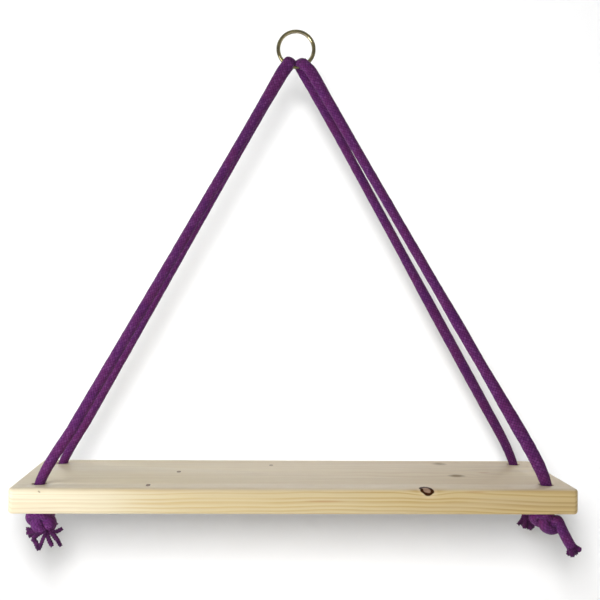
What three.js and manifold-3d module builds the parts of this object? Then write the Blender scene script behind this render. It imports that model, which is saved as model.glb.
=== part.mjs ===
// A hanging shelf: a planed pine board on two soft cords that loop over one brass ring.
// Millimetres, +X along the board, +Y towards its back edge, +Z up.
// The origin is at the inside top of the ring, where the hook bears that holds the shelf up.

import * as THREE from 'three';
import { mergeVertices } from 'three/addons/utils/BufferGeometryUtils.js';
import Module from 'manifold-3d';

const wasm = await Module();
wasm.setup();

// Board
const boardLength = 600;
const boardDepth = 195;
const boardThickness = 27;
const boardEdgeRadius = 2.5;
// Of the flat top, inside the rounded edge.
const boardCornerRadius = 2;
// From the middle of each hole to the end of the board, and to its front or back edge.
const holeInset = 27.5;

// Ring
const ringInsideDiameter = 36;
const ringWireDiameter = 4.5;
// From the board's top face to the ring's centre.
const ringHeight = 484;

// Cords
const cordDiameter = 11;
// How much wider each hole is than the cord.
const holeClearance = 5;
// Between two pieces that rest on each other.
const seatGap = 0.3;
// How much further than the cord itself a loop reaches from the wire, before the legs begin.
const loopMargin = 0.75;
// How far the front leg of each loop lies out along the wire, and the back leg in.
const loopSkew = { left: 0, right: 2.2 };

// Where a leg bends into its hole: it turns about a corner above the board, from as far
// up as its rise, and ends inside the bore, leaning outwards.
const bendCornerHeight = 8;
const bendRise = 16;
const legEndDepth = 7;
// The knot's shank starts this far below the leg's end, to stay clear of it as the board rocks.
const shankDrop = 7.5;
// Shares of the play between cord and hole: the corner lies inwards, the leg's end outwards.
const bendInsetShare = 0.2;
const legOutsetShare = 0.64;

// Knots and tails, in cord diameters
const knotTurnShare = 0.72;
const knotWrapShare = 0.38;
const knotWidthShare = 1.1;
const knotHeightShare = 0.82;
const knotCoreShare = 0.85;
const tuftTipShare = 0.13;
const tuftRootShare = 0.26;
const tuftSpreadShare = 0.28;

// Facets
const cordSides = 10;
const stationSpacingShare = 2.6;
const bendStations = 5;
const loopStations = 12;
const ringSides = 12;
const ringSteps = 48;
const holeSides = 24;
const drumSides = 72;
const edgeSegments = 2;
const tuftSides = 5;
const knotPieces = 6;
const knotPieceStations = 4;
const coreDetail = 2;
// How far a cutter runs past what it cuts.
const overrun = 2;

const degree = Math.PI / 180;
const quarterTurn = Math.PI / 2;
const fullTurn = Math.PI * 2;

// Each corner's knot is turned by its own angle, and its tail runs by its own route.
// The route is in cord diameters from the knot's middle: outwards, backwards and up.
const corners = [
  {
    side: 'left', face: 'front', outward: -1, backward: -1, knotTurn: 28 * degree,
    tailRouteShares: [[0, -0.25, -0.4], [-0.05, -0.4, -0.95], [-0.05, -0.5, -1.45]],
    tufts: 6, tuftLengthShare: 1.45, tuftSplay: 46 * degree,
  },
  {
    side: 'left', face: 'back', outward: -1, backward: 1, knotTurn: -35 * degree,
    tailRouteShares: [[0, -0.15, -0.4], [0.05, -0.75, -1.4], [0.1, -1.4, -2.4]],
    tufts: 5, tuftLengthShare: 1.6, tuftSplay: 22 * degree,
  },
  {
    side: 'right', face: 'front', outward: 1, backward: -1, knotTurn: 0 * degree,
    tailRouteShares: [[0.6, -0.2, -0.1], [1.4, -0.4, -0.85], [1.9, -0.6, -1.9], [2.35, -0.75, -3]],
    tufts: 6, tuftLengthShare: 0.6, tuftSplay: 30 * degree,
  },
  {
    side: 'right', face: 'back', outward: 1, backward: 1, knotTurn: 50 * degree,
    tailRouteShares: [[0.2, 0.1, -0.4], [0.8, 0.15, -1.6], [1.35, 0.2, -2.9]],
    tufts: 7, tuftLengthShare: 0.95, tuftSplay: 36 * degree,
  },
];

const materials = {
  wood: new THREE.MeshStandardMaterial({ color: 0xdcc8a0, roughness: 0.65, metalness: 0 }),
  brass: new THREE.MeshStandardMaterial({ color: 0x8f8250, roughness: 0.25, metalness: 1 }),
  cord: new THREE.MeshStandardMaterial({ color: 0x66296a, roughness: 0.9, metalness: 0 }),
};

// Places worked out from the sizes
const wireRadius = ringWireDiameter / 2;
const ringRadius = ringInsideDiameter / 2 + wireRadius;
const ringCentreZ = -ringInsideDiameter / 2;
const boardTopZ = ringCentreZ - ringHeight;
const boardUnderZ = boardTopZ - boardThickness;
const holeX = boardLength / 2 - holeInset;
const holeY = boardDepth / 2 - holeInset;
const holeDiameter = cordDiameter + holeClearance;
const holePlay = holeClearance / 2;
const shankTopZ = boardTopZ - legEndDepth - shankDrop;
const cordRadius = cordDiameter / 2;
const wrapRadius = wireRadius + seatGap + cordRadius;
const loopReach = wireRadius + seatGap + cordDiameter + loopMargin;
const bendCornerX = holeX - bendInsetShare * holePlay;
const bendCornerZ = boardTopZ + bendCornerHeight;
// Each loop settles where the ring's own radius points along its legs, or beside the other loop.
const settledAngle = Math.atan2(bendCornerX, ringCentreZ - bendCornerZ);
const loopInset = ringRadius - wrapRadius;
const besideAngle = Math.atan2(cordRadius, loopInset)
  + Math.asin(seatGap / Math.hypot(cordRadius, loopInset));
const loopAngle = Math.max(settledAngle, besideAngle);
const loopWireX = ringRadius * Math.sin(loopAngle);
const loopWireZ = ringCentreZ - ringRadius * Math.cos(loopAngle);

function toSolid(geometry) {
  const bare = geometry.clone();
  bare.deleteAttribute('normal');
  bare.deleteAttribute('uv');
  const merged = mergeVertices(bare);
  return new wasm.Manifold(new wasm.Mesh({
    numProp: 3,
    vertProperties: new Float32Array(merged.attributes.position.array),
    triVerts: new Uint32Array(merged.index.array),
  }));
}

function toGeometry(manifold) {
  const mesh = manifold.getMesh();
  const geometry = new THREE.BufferGeometry();
  geometry.setAttribute('position', new THREE.BufferAttribute(mesh.vertProperties, 3));
  geometry.setIndex(new THREE.BufferAttribute(mesh.triVerts, 1));
  geometry.computeVertexNormals();
  return geometry;
}

function named(name, geometry, material) {
  const mesh = new THREE.Mesh(geometry, material);
  mesh.name = name;
  return mesh;
}

// A route runs straight from point to point, with a section of the cord at each point.
class CordRoute extends THREE.Curve {
  constructor(points) {
    super();
    this.points = points;
  }

  getPoint(share, target = new THREE.Vector3()) {
    const last = this.points.length - 1;
    const index = Math.min(Math.floor(share * last), last - 1);
    return target.lerpVectors(this.points[index], this.points[index + 1], share * last - index);
  }

  getTangent(share, target = new THREE.Vector3()) {
    const last = this.points.length - 1;
    const index = Math.round(share * last);
    target.set(0, 0, 0);
    for (const first of [index - 1, index]) {
      if (first >= 0 && first < last) {
        target.add(this.points[first + 1].clone().sub(this.points[first]).normalize());
      }
    }
    return target.normalize();
  }

  getUtoTmapping(share) {
    return share;
  }
}

function cordTube(points, radius = cordRadius, sides = cordSides) {
  const outline = [];
  for (let side = 0; side < sides; side += 1) {
    const angle = (side / sides) * fullTurn;
    outline.push(new THREE.Vector2(radius * Math.cos(angle), radius * Math.sin(angle)));
  }
  return new THREE.ExtrudeGeometry(new THREE.Shape(outline), {
    steps: points.length - 1,
    bevelEnabled: false,
    extrudePath: new CordRoute(points),
  });
}

// A drum about the line on which the legs swing under the wire.
function swingDrum(radius) {
  const length = 2 * (ringRadius + cordDiameter + overrun);
  const drum = new THREE.CylinderGeometry(radius, radius, length, drumSides);
  drum.rotateZ(quarterTurn);
  drum.translate(0, 0, loopWireZ);
  return toSolid(drum);
}

// The place on a loop at an angle about the wire, from its inside top towards the back.
function loopPoint(outward, skew, angle) {
  const inwards = new THREE.Vector3(-outward * Math.sin(loopAngle), 0, Math.cos(loopAngle));
  const alongWire = new THREE.Vector3(outward * Math.cos(loopAngle), 0, Math.sin(loopAngle));
  return new THREE.Vector3(outward * loopWireX, 0, loopWireZ)
    .addScaledVector(inwards, wrapRadius * Math.cos(angle))
    .addScaledVector(alongWire, -skew * Math.sin(angle))
    .add(new THREE.Vector3(0, wrapRadius * Math.sin(angle), 0));
}

// The angle at which a leg leaves the wire, straight towards the bend over its hole.
function leaveAngle() {
  const drop = Math.hypot(bendCornerX - loopWireX, bendCornerZ - loopWireZ);
  return Math.atan2(holeY, -drop) - Math.acos(wrapRadius / Math.hypot(holeY, drop));
}

function bendCorner(outward, backward) {
  return new THREE.Vector3(outward * bendCornerX, backward * holeY, bendCornerZ);
}

function loopRoute(outward, skew) {
  const leave = leaveAngle();
  const points = [];
  for (let station = 0; station <= loopStations; station += 1) {
    points.push(loopPoint(outward, skew, leave * (2 * station / loopStations - 1)));
  }
  const stub = (from, backward) => {
    const down = bendCorner(outward, backward).sub(from).normalize();
    return from.clone().addScaledVector(down, loopReach + overrun);
  };
  points.unshift(stub(points[0], -1));
  points.push(stub(points[points.length - 1], 1));
  return points;
}

function legRoute(outward, backward, skew) {
  const top = loopPoint(outward, skew, backward * leaveAngle());
  const corner = bendCorner(outward, backward);
  const down = corner.clone().sub(top).normalize();
  const bendStart = corner.clone().addScaledVector(down, bendRise / down.z);
  const end = new THREE.Vector3(
    outward * (holeX + legOutsetShare * holePlay), backward * holeY, boardTopZ - legEndDepth,
  );
  const stations = Math.round(top.distanceTo(bendStart) / (stationSpacingShare * cordDiameter));
  const points = [];
  for (let station = 0; station < stations; station += 1) {
    points.push(top.clone().lerp(bendStart, station / stations));
  }
  const bend = new THREE.QuadraticBezierCurve3(bendStart, corner, end);
  return points.concat(bend.getPoints(bendStations));
}

function boardGeometry() {
  const halfLength = boardLength / 2 - boardEdgeRadius;
  const halfDepth = boardDepth / 2 - boardEdgeRadius;
  const corner = boardCornerRadius;
  const plan = new THREE.Shape();
  plan.moveTo(halfLength, corner - halfDepth);
  plan.lineTo(halfLength, halfDepth - corner);
  plan.absarc(halfLength - corner, halfDepth - corner, corner, 0, quarterTurn);
  plan.lineTo(corner - halfLength, halfDepth);
  plan.absarc(corner - halfLength, halfDepth - corner, corner, quarterTurn, 2 * quarterTurn);
  plan.lineTo(-halfLength, corner - halfDepth);
  plan.absarc(corner - halfLength, corner - halfDepth, corner, 2 * quarterTurn, 3 * quarterTurn);
  plan.lineTo(halfLength - corner, -halfDepth);
  plan.absarc(halfLength - corner, corner - halfDepth, corner, 3 * quarterTurn, 4 * quarterTurn);
  const slab = new THREE.ExtrudeGeometry(plan, {
    depth: boardThickness - 2 * boardEdgeRadius,
    bevelSize: boardEdgeRadius,
    bevelThickness: boardEdgeRadius,
    bevelSegments: edgeSegments,
    curveSegments: edgeSegments,
  });
  slab.translate(0, 0, boardUnderZ + boardEdgeRadius);
  let board = toSolid(slab);
  for (const { outward, backward } of corners) {
    const drill = new THREE.CylinderGeometry(
      holeDiameter / 2, holeDiameter / 2, boardThickness + 2 * overrun, holeSides,
    );
    drill.rotateX(quarterTurn);
    drill.translate(outward * holeX, backward * holeY, boardTopZ - boardThickness / 2);
    board = board.subtract(toSolid(drill));
  }
  return toGeometry(board);
}

function ringGeometry() {
  const ring = new THREE.TorusGeometry(ringRadius, wireRadius, ringSides, ringSteps);
  ring.rotateX(quarterTurn);
  ring.translate(0, 0, ringCentreZ);
  return ring;
}

// An overhand knot's turns about its own middle, in an upright plane turned by an angle.
function knotPoint(share, turn) {
  const angle = share * fullTurn;
  const reach = (knotTurnShare + knotWrapShare * Math.cos(3 * angle)) * cordDiameter;
  const depth = knotWrapShare * Math.sin(3 * angle) * cordDiameter;
  const across = reach * Math.sin(2 * angle) * knotWidthShare;
  return new THREE.Vector3(
    across * Math.cos(turn) - depth * Math.sin(turn),
    across * Math.sin(turn) + depth * Math.cos(turn),
    -reach * Math.cos(2 * angle) * knotHeightShare,
  );
}

// The knot's turns press into each other, so they are joined piece by piece about a full core.
function knotTurns(turn, radius) {
  let turns = toSolid(new THREE.IcosahedronGeometry(knotCoreShare * cordDiameter, coreDetail));
  for (let piece = 0; piece < knotPieces; piece += 1) {
    const points = [];
    for (let station = -1; station <= knotPieceStations + 1; station += 1) {
      points.push(knotPoint((piece + station / knotPieceStations) / knotPieces, turn));
    }
    turns = turns.add(toSolid(cordTube(points, radius)));
  }
  return turns;
}

function knotMiddle(corner) {
  const top = knotTurns(corner.knotTurn, cordRadius).boundingBox().max[2];
  return new THREE.Vector3(
    corner.outward * holeX, corner.backward * holeY, boardUnderZ - seatGap - top,
  );
}

function knotSolid(corner, middle) {
  const shankTop = middle.clone().setZ(shankTopZ);
  const turns = knotTurns(corner.knotTurn, cordRadius).translate(middle.toArray());
  return turns.add(toSolid(cordTube([shankTop, middle])));
}

// Frayed yarns splay about the tail's end in tapering tufts, one of them straight on.
function tuftSolid(root, direction, length) {
  const tuft = new THREE.CylinderGeometry(
    tuftTipShare * cordDiameter, tuftRootShare * cordDiameter, length, tuftSides,
  );
  tuft.translate(0, length / 2, 0);
  tuft.applyQuaternion(new THREE.Quaternion().setFromUnitVectors(new THREE.Vector3(0, 1, 0), direction));
  tuft.translate(root.x, root.y, root.z);
  return toSolid(tuft);
}

function tailSolid(corner, middle) {
  const route = corner.tailRouteShares.map(([out, back, up]) => new THREE.Vector3(
    out * corner.outward, back, up,
  ).multiplyScalar(cordDiameter).add(middle));
  const points = new THREE.CatmullRomCurve3(route).getPoints(2 * route.length);
  let tail = toSolid(cordTube(points));
  const end = points[points.length - 1];
  const ahead = end.clone().sub(points[points.length - 2]).normalize();
  const across = new THREE.Vector3(0, 1, 0).cross(ahead).normalize();
  for (let tuft = 0; tuft < corner.tufts; tuft += 1) {
    const round = (tuft / (corner.tufts - 1)) * fullTurn;
    const aside = across.clone().applyAxisAngle(ahead, round);
    const splay = tuft === corner.tufts - 1 ? 0 : 1;
    const root = end.clone().addScaledVector(ahead, -cordRadius)
      .addScaledVector(aside, splay * tuftSpreadShare * cordDiameter);
    const direction = ahead.clone().multiplyScalar(Math.cos(splay * corner.tuftSplay))
      .addScaledVector(aside, Math.sin(splay * corner.tuftSplay));
    tail = tail.add(tuftSolid(root, direction, cordRadius + corner.tuftLengthShare * cordDiameter));
  }
  // What is left inside the knot's own hollows is dropped.
  const clear = tail.subtract(knotTurns(corner.knotTurn, cordRadius + seatGap).translate(middle.toArray()));
  return clear.decompose().sort((one, other) => other.volume() - one.volume())[0];
}

const shelf = new THREE.Group();
shelf.add(named('board', boardGeometry(), materials.wood));
shelf.add(named('hanging_ring', ringGeometry(), materials.brass));

const loopDrum = swingDrum(loopReach);
const legDrum = swingDrum(loopReach + seatGap);
for (const [side, outward] of [['left', -1], ['right', 1]]) {
  const loop = toSolid(cordTube(loopRoute(outward, loopSkew[side]))).intersect(loopDrum);
  shelf.add(named(`${side}_cord_loop`, toGeometry(loop), materials.cord));
}
for (const corner of corners) {
  const prefix = `${corner.side}_cord_${corner.face}`;
  const route = legRoute(corner.outward, corner.backward, loopSkew[corner.side]);
  const leg = toSolid(cordTube(route)).subtract(legDrum);
  const middle = knotMiddle(corner);
  shelf.add(named(`${prefix}_leg`, toGeometry(leg), materials.cord));
  shelf.add(named(`${prefix}_knot`, toGeometry(knotSolid(corner, middle)), materials.cord));
  shelf.add(named(`${prefix}_tail`, toGeometry(tailSolid(corner, middle)), materials.cord));
}

export default shelf;
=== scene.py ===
import math
import random

import bmesh
import bpy
import numpy as np
from mathutils import Matrix, Vector


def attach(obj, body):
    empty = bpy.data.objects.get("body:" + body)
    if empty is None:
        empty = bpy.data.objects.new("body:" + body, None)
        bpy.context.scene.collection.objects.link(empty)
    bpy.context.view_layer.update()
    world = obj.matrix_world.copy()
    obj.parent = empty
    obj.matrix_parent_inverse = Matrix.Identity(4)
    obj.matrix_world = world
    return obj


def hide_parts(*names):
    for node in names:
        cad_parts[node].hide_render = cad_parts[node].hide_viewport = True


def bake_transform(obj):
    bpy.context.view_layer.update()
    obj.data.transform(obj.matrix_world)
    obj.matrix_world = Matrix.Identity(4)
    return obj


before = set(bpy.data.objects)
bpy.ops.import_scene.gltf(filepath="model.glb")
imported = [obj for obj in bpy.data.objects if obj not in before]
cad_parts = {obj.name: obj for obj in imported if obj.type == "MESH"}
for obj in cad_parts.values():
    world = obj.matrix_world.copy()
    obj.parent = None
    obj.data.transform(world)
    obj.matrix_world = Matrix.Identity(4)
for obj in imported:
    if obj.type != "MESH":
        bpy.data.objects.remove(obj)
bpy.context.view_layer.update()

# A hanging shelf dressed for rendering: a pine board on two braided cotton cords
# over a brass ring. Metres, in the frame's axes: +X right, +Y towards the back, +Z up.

MM = 0.001

# Board: its sizes, the roundings of its long edges and upright corners, and its holes
BOARD_LENGTH = 600 * MM
BOARD_DEPTH = 195 * MM
BOARD_THICKNESS = 27 * MM
BOARD_EDGE = 3.4 * MM
BOARD_CORNER = 5.5 * MM
HOLE_DIAMETER = 16 * MM
HOLE_INSET = 27.5 * MM
HOLE_RIM = 0.5 * MM

# Ring: the wire's sizes, and the height of the ring's middle over the board's top face
RING_INSIDE = 36 * MM
RING_WIRE = 4.5 * MM
RING_HEIGHT = 484 * MM

# Cords. The band is the flattened stretch over the wire: its middle lies BAND_SEAT off the wire's
# skin, and it is pushed BAND_INWARD along the wire, which fades out within BAND_REACH of it.
CORD_DIAMETER = 11 * MM
CORD_SIDES = 36
CORD_SPACING = 1.2 * MM
BAND_WIDTH = 14 * MM
BAND_THICKNESS = {"left": 6.4 * MM, "right": 5.4 * MM}
BAND_SEAT = 3.6 * MM
BAND_INWARD = {"left": 1.6 * MM, "right": 4 * MM}
BAND_REACH = 26 * MM

# The slack bend over each hole: how high over the board the straight run aims, how far above that
# the bend starts, the share of it that keeps to the run, how far above the aim it turns down, and
# how deep it ends in the bore
BEND_CORNER_HEIGHT = 8 * MM
BEND_RISE = 52 * MM
BEND_SHARE = 0.35
ENTRY_RISE = 6 * MM
LEG_END_DEPTH = 7 * MM

# A cord's unevenness: its size, and the lengths of its waves
CORD_UNEVEN = 0.02
UNEVEN_LENGTHS = (9 * MM, 14 * MM, 23 * MM, 41 * MM)

# Braid: plaits each way round the cord, and the length in which one goes once round
PLAITS = 10
PLAIT_LAY = 40 * MM

# Knots: the turns of an overhand knot, in degrees along its curve, and its size, reach, wrap and
# stretch, in cord diameters
KNOT_START = 278
KNOT_SWEEP = 285
KNOT_STEP = 15
KNOT_SIZE = 1.12
KNOT_REACH = 0.72
KNOT_WRAP = 0.38
KNOT_WIDTH = 1.1
KNOT_HEIGHT = 0.82

# How far a knot's middle hangs under the board, the cord's size in it, and how the cord gets
# there: a slim shank in the bore, a swelling, and a slim tail with a tied-in neck
KNOT_DROP = 10.9 * MM
KNOT_CORD_WIDTH = 13.6 * MM
KNOT_CORD_THICKNESS = 10.8 * MM
KNOT_SPACING = 0.9 * MM
SHANK_TOP = 16 * MM
SHANK_LENGTH = 18 * MM
SHANK_SWELLING = 8 * MM
TAIL_WIDTH = 11.4 * MM
TAIL_LENGTH = 22 * MM
TAIL_TAPER = 12 * MM
NECK_LENGTH = 5 * MM
NECK_DEPTH = 0.12

# Loose plies: two yarns twisted together, and the threads at a ply's tip. Strands count the fine
# lines of the texture, and the turn from ply to ply round a flare is in radians.
PLY_SIDES = 12
PLY_STRANDS = 6
PLY_SPACING = 0.8 * MM
PLY_ROOT = 5 * MM
PLY_TWIST = 5.5 * MM
PLY_GROOVE = 0.13
PLY_LAY = 11 * MM
PLY_FLATNESS = 0.86
PLY_TURN = 2.399963
THREADS = 4
THREAD_SIDES = 6
THREAD_STRANDS = 3
THREAD_SPACING = 0.9 * MM
THREAD_WIDTH = 1.3 * MM
THREAD_LAY = 8 * MM

# Stage and camera: the camera's turns are in degrees, and its shift is in widths of the picture
WALL_Y = 0.285
WALL_SIZE = 4
FLOOR_Z = -0.86
FLOOR_SIZE = 6
ROOM_LIGHT = 0.3
CAMERA_PLACE = (-53.69 * MM, -1190.73 * MM, -302.09 * MM)
CAMERA_YAW = 2.178
CAMERA_PITCH = 0.012
CAMERA_ROLL = 0.523
CAMERA_LENS = 62.66
CAMERA_SENSOR = 36
CAMERA_SHIFT = (0.0226, -0.0036)

# Places worked out from the sizes
ring_centre_z = -RING_INSIDE / 2
ring_radius = RING_INSIDE / 2 + RING_WIRE / 2
board_top = ring_centre_z - RING_HEIGHT
board_under = board_top - BOARD_THICKNESS
hole_x = BOARD_LENGTH / 2 - HOLE_INSET
hole_y = BOARD_DEPTH / 2 - HOLE_INSET
corner_z = board_top + BEND_CORNER_HEIGHT
loop_angle = math.atan2(hole_x, ring_centre_z - corner_z)
wire_x = ring_radius * math.sin(loop_angle)
wire_z = ring_centre_z - ring_radius * math.cos(loop_angle)
wrap_radius = RING_WIRE / 2 + BAND_SEAT

SIDES = {"left": -1, "right": 1}
FACES = {"front": -1, "back": 1}

# Each corner of the shelf. Skew is how far the strand is pushed along the wire, outwards in front
# and inwards behind, inset how far inwards of the hole its straight run aims, entry how far inwards
# it turns down and outset how far outwards it ends in the bore, in mm. Widths are (share of the leg,
# width, thickness) in mm, from the wire down. The knot's turn is in degrees, and its open side is
# where the cord's end leaves it: outwards is 1. Shift moves the knot's turns outwards and lean tips
# them outwards as they go down, in cord diameters. Tail and plies are routes in cord diameters from
# the knot's middle: outwards, back and up. A tail without plies of its own has a flare of them, by
# count, length in mm and splay in degrees. Ply width is in mm.
CORNERS = {
    ("left", "front"): {
        "skew": 0, "inset": 5.2, "entry": 2.5, "outset": 1.5,
        "widths": [(0, 13.6, 8.8), (0.04, 14.2, 9.2), (0.1, 12.4, 9.8), (0.2, 11.2, 10.2),
                   (0.5, 11, 10.6), (0.75, 11.4, 11), (0.95, 11.6, 11), (0.98, 10.8, 10.6),
                   (1, 10.2, 10)],
        "turn": 8, "open_side": -1, "shift": -0.45, "lean": -0.15,
        "tail": [(-1.05, -0.35, 0.1), (-1.1, -0.1, -0.5), (-0.75, -0.3, -1.05)],
        "plies": [
            [(-0.6, -0.2, -0.9), (0.35, -0.35, -0.95), (1.15, -0.3, -0.86)],
            [(-0.6, -0.3, -0.9), (0.4, -0.4, -1.15), (1.12, -0.45, -1.22)],
            [(-0.6, -0.2, -0.9), (0.35, -0.3, -1.3), (0.9, -0.35, -1.6)],
            [(-0.6, -0.4, -0.95), (0.1, -0.5, -1.45), (0.5, -0.6, -1.98)],
            [(-0.6, -0.5, -1.0), (0.3, -0.75, -1.6), (0.08, -0.8, -2.15), (-0.16, -0.85, -2.8)],
            [(-0.8, -0.5, -1.0), (-0.6, -0.75, -1.6), (-0.42, -0.8, -2.1), (-0.2, -0.9, -2.75)],
            [(-0.8, -0.4, -1.0), (-1.08, -0.6, -1.8), (-1.45, -0.75, -2.45)],
            [(-0.8, -0.3, -0.95), (-1.6, -0.45, -1.5), (-2.22, -0.5, -2.5)],
            [(-0.8, -0.2, -0.95), (-1.6, -0.25, -1.15), (-2.3, -0.2, -0.85)],
            [(-0.8, -0.2, -0.95), (-1.3, -0.1, -1.4), (-1.85, -0.05, -2.1)],
        ],
        "ply_width": 4.4,
    },
    ("left", "back"): {
        "skew": 0, "inset": 4.8, "entry": 4.5, "outset": 1.6,
        "widths": [(0, 14.4, 8.8), (0.045, 13, 9.2), (0.1, 11.4, 9.8), (0.2, 10.6, 10),
                   (0.5, 11.2, 10.6), (0.75, 11.8, 11), (0.9, 12, 11), (0.95, 11, 10.8), (1, 10.2, 10)],
        "turn": -20, "open_side": 1, "shift": 0, "lean": 0,
        "tail": [(1.0, -0.3, -0.35), (1.0, -0.8, -1.1), (1.05, -1.15, -1.9), (1.1, -1.35, -2.5)],
        "flare": {"count": 8, "length": 9, "splay": 40}, "ply_width": 4.2,
    },
    ("right", "front"): {
        "skew": 1.6, "inset": -0.5, "entry": 2.2, "outset": 2,
        "widths": [(0, 12.4, 8.8), (0.045, 13.4, 9.2), (0.1, 12, 9.8), (0.2, 11, 10.2),
                   (0.3, 10.6, 10.2), (0.55, 10.8, 10.4), (0.62, 12.3, 11), (0.72, 11.4, 10.6),
                   (0.79, 13, 11.2), (0.86, 14.4, 11.8), (0.95, 14, 11.4), (0.98, 12.4, 10.8),
                   (1, 10.4, 10)],
        "turn": 0, "open_side": 1, "shift": 0.2, "lean": 0.55,
        "tail": [(1.05, -0.42, 0.22), (1.2, -0.42, -0.15), (1.35, -0.45, -0.6), (1.7, -0.55, -1.3),
                 (2.05, -0.6, -1.95), (2.43, -0.65, -2.68)],
        "flare": {"count": 9, "length": 9, "splay": 36}, "ply_width": 5.4,
    },
    ("right", "back"): {
        "skew": 4.4, "inset": 0.2, "entry": 2.2, "outset": 1.8,
        "widths": [(0, 14.2, 8.8), (0.045, 12.6, 9.2), (0.12, 11, 9.6), (0.2, 10.2, 9.8),
                   (0.45, 10.4, 10), (0.57, 12, 10.8), (0.75, 12.2, 10.8), (0.9, 11.4, 10.6), (1, 10, 10)],
        "turn": 50, "open_side": 1, "shift": 0, "lean": 0,
        "tail": [(0.9, 0.15, -0.6), (1.35, 0.15, -1.1), (1.5, 0.15, -1.6), (1.55, 0.15, -2.25)],
        "flare": {"count": 11, "length": 17, "splay": 21}, "ply_width": 6,
    },
}


# Camera

def make_camera():
    """The photograph's view: eye level above the board, nearly square on, slightly turned."""
    data = bpy.data.cameras.new("camera")
    data.sensor_width = CAMERA_SENSOR
    data.lens = CAMERA_LENS
    data.shift_x, data.shift_y = CAMERA_SHIFT
    camera = bpy.data.objects.new("camera", data)
    bpy.context.collection.objects.link(camera)
    yaw, pitch, roll = (math.radians(turn) for turn in (CAMERA_YAW, CAMERA_PITCH, CAMERA_ROLL))
    forward = Vector((math.sin(yaw) * math.cos(pitch), math.cos(yaw) * math.cos(pitch), math.sin(pitch)))
    level = Vector((math.cos(yaw), -math.sin(yaw), 0))
    upright = level.cross(forward)
    right = level * math.cos(roll) + upright * math.sin(roll)
    up = upright * math.cos(roll) - level * math.sin(roll)
    turned = Matrix((right, up, -forward)).transposed().to_4x4()
    camera.matrix_world = Matrix.Translation(CAMERA_PLACE) @ turned
    bpy.context.scene.camera = camera


# Routes

def route_lengths(points):
    """How far along a polyline each of its points lies."""
    return np.concatenate([[0], np.cumsum(np.linalg.norm(np.diff(points, axis=0), axis=1))])


def smooth_route(points, spacing):
    """Points at an even spacing on a smooth curve through the given ones."""
    steps = 16
    points = np.array(points, dtype=float)
    padded = np.vstack([2 * points[0] - points[1], points, 2 * points[-1] - points[-2]])
    fine = []
    for index in range(len(points) - 1):
        before, start, end, after = padded[index:index + 4]
        for share in np.linspace(0, 1, steps, endpoint=False):
            fine.append(0.5 * (
                2 * start + (end - before) * share
                + (2 * before - 5 * start + 4 * end - after) * share ** 2
                + (3 * start - before - 3 * end + after) * share ** 3
            ))
    fine = np.array(fine + [points[-1]])
    reach = route_lengths(fine)
    count = max(int(round(reach[-1] / spacing)), 2)
    wanted = np.linspace(0, reach[-1], count + 1)
    return np.column_stack([np.interp(wanted, reach, fine[:, axis]) for axis in range(3)])


def leave_angle():
    """How far round the wire, from its inside top, the cord leaves it for the leg."""
    drop = math.hypot(hole_x - wire_x, corner_z - wire_z)
    return math.atan2(hole_y, -drop) - math.acos(wrap_radius / math.hypot(hole_y, drop))


def wire_direction(side):
    """The way the ring's wire runs where a cord lies over it."""
    return np.array((SIDES[side] * math.cos(loop_angle), 0, math.sin(loop_angle)))


def loop_point(side, angle):
    """On a cord's loop at an angle about the wire, from its inside top towards the back."""
    outward = SIDES[side]
    inwards = np.array((-outward * math.sin(loop_angle), 0, math.cos(loop_angle)))
    centre = np.array((outward * wire_x, wrap_radius * math.sin(angle), wire_z))
    return centre + inwards * wrap_radius * math.cos(angle)


def leg_points(side, face):
    """From the wire straight to the bend over the hole, and on into the bore."""
    outward, backward = SIDES[side], FACES[face]
    top = loop_point(side, backward * leave_angle())
    shifts = CORNERS[side, face]

    def over_hole(inset, height):
        return np.array((outward * (hole_x - inset * MM), backward * hole_y, height))

    corner = over_hole(shifts["inset"], corner_z)
    down = (corner - top) / np.linalg.norm(corner - top)
    bend = corner + down * BEND_RISE / down[2]
    steer = bend + (corner - bend) * BEND_SHARE
    entry = over_hole(shifts["entry"], corner_z + ENTRY_RISE)
    end = over_hole(-shifts["outset"], board_top - LEG_END_DEPTH)
    straight = [top + (bend - top) * share for share in np.linspace(0, 1, 12, endpoint=False)]
    curve = []
    for share in np.linspace(0, 1, 11):
        rest = 1 - share
        early, late = 3 * share * rest ** 2, 3 * share ** 2 * rest
        curve.append(bend * rest ** 3 + steer * early + entry * late + end * share ** 3)
    return straight + curve


def over_wire(route):
    """Which point of a cord's route lies right over the wire."""
    return int(np.argmin(np.abs(route[:, 1])))


def cord_route(side):
    """One cord from its front bore over the wire to its back bore."""
    leave = leave_angle()
    over = [loop_point(side, leave * share) for share in np.linspace(-1, 1, 17)[1:-1]]
    route = smooth_route(leg_points(side, "front")[::-1] + over + leg_points(side, "back"), CORD_SPACING)
    reach = route_lengths(route)
    run = reach - reach[over_wire(route)]
    leaving = np.sin(math.pi / 2 * np.clip(np.abs(run) / BAND_REACH, 0, 1)) ** 2
    skew = np.where(run > 0, CORNERS[side, "back"]["skew"] * MM, -CORNERS[side, "front"]["skew"] * MM)
    fading = 1 - np.where(run > 0, run / run[-1], run / run[0])
    shift = BAND_INWARD[side] * (1 - leaving) + skew * leaving * fading
    return route - shift[:, None] * wire_direction(side)


# Tubes

def cross_frames(points):
    """Directions along and across a route, carried along it without twist."""
    ahead = np.gradient(points, axis=0)
    ahead /= np.linalg.norm(ahead, axis=1)[:, None]
    across = np.zeros_like(points)
    across[0] = (0, 1, 0) if abs(ahead[0][1]) < 0.9 else (1, 0, 0)
    for index in range(len(points)):
        if index:
            across[index] = across[index - 1]
        across[index] -= ahead[index] * (across[index] @ ahead[index])
        across[index] /= np.linalg.norm(across[index])
    return ahead, across, np.cross(ahead, across)


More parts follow.
